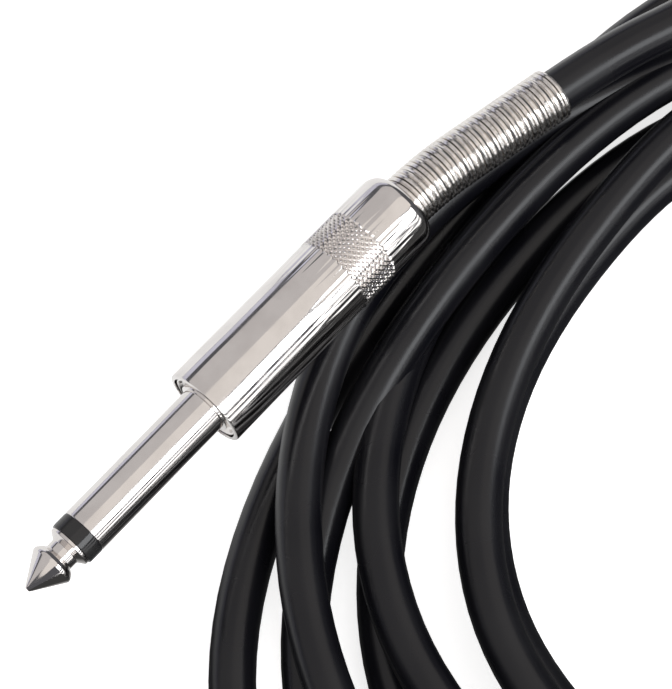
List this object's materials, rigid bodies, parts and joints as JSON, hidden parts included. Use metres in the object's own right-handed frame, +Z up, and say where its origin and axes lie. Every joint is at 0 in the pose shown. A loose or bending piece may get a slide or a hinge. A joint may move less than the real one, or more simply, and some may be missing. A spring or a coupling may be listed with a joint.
{
  "type": "instrument cable",
  "caption": "Coiled black instrument cable with nickel-plated straight phone plugs, knurled screw-on barrels and spring strain reliefs, lying flat.",
  "frame": {"origin": "middle of the two plugs' box, on the surface the cable lies on", "axes": "+Z up, +X along both plugs from the tip to the cable, +Y from the plug on the floor to the plug on the coil"},
  "size_m": [0.166, 0.1427, 0.0235],
  "materials": {
    "nickel_plate": "polished nickel plate",
    "black_insulator": "smooth black plastic",
    "fibre_washer": "red-brown vulcanised fibre",
    "tinned_brass": "tinned brass strip",
    "solder": "solder",
    "copper_wire": "stranded copper",
    "copper_braid": "twisted copper braid",
    "white_insulation": "white polyethylene",
    "clear_liner": "translucent film",
    "spring_steel": "plated spring wire",
    "cable_jacket": "satin black PVC"
  },
  "bodies": {
    "root": {"cable_lead_a": "cable_jacket", "cable_coil": "cable_jacket", "cable_lead_b": "cable_jacket", "tip_contact_a": "nickel_plate", "tip_insulator_a": "black_insulator", "sleeve_contact_a": "nickel_plate", "rear_washer_a": "fibre_washer", "tip_lug_a": "tinned_brass", "ground_lug_a": "tinned_brass", "tip_solder_a": "solder", "ground_solder_a": "solder", "core_wire_a": "copper_wire", "core_insulation_a": "white_insulation", "shield_tail_a": "copper_braid", "strain_relief_spring_a": "spring_steel", "jacket_end_a": "cable_jacket", "tip_contact_b": "nickel_plate", "tip_insulator_b": "black_insulator", "sleeve_contact_b": "nickel_plate", "rear_washer_b": "fibre_washer", "tip_lug_b": "tinned_brass", "ground_lug_b": "tinned_brass", "tip_solder_b": "solder", "ground_solder_b": "solder", "core_wire_b": "copper_wire", "core_insulation_b": "white_insulation", "shield_tail_b": "copper_braid", "strain_relief_spring_b": "spring_steel", "jacket_end_b": "cable_jacket"},
    "liner_a": {"barrel_liner_a": "clear_liner"},
    "barrel_a": {"barrel_a": "nickel_plate"},
    "liner_b": {"barrel_liner_b": "clear_liner"},
    "barrel_b": {"barrel_b": "nickel_plate"}
  },
  "joints": [
    {"name": "barrel_draw_back_a", "type": "slide", "parent": "root", "child": "liner_a", "axis": [1, 0, 0], "range_m": [0, 0.0032]},
    {"name": "barrel_unscrew_a", "type": "hinge", "parent": "liner_a", "child": "barrel_a", "pos_m": [0.007, 0.0657, 0.0179], "axis": [1, 0, 0], "range_deg": [0, 1440]},
    {"name": "barrel_draw_back_b", "type": "slide", "parent": "root", "child": "liner_b", "axis": [1, 0, 0], "range_m": [0, 0.0032]},
    {"name": "barrel_unscrew_b", "type": "hinge", "parent": "liner_b", "child": "barrel_b", "pos_m": [-0.0024, -0.0657, 0.00565], "axis": [1, 0, 0], "range_deg": [0, 1440]}
  ],
  "couplings": [
    {"joint": "barrel_unscrew_a", "follows": "barrel_draw_back_a", "rad_per_m": 7854},
    {"joint": "barrel_unscrew_b", "follows": "barrel_draw_back_b", "rad_per_m": 7854}
  ]
}
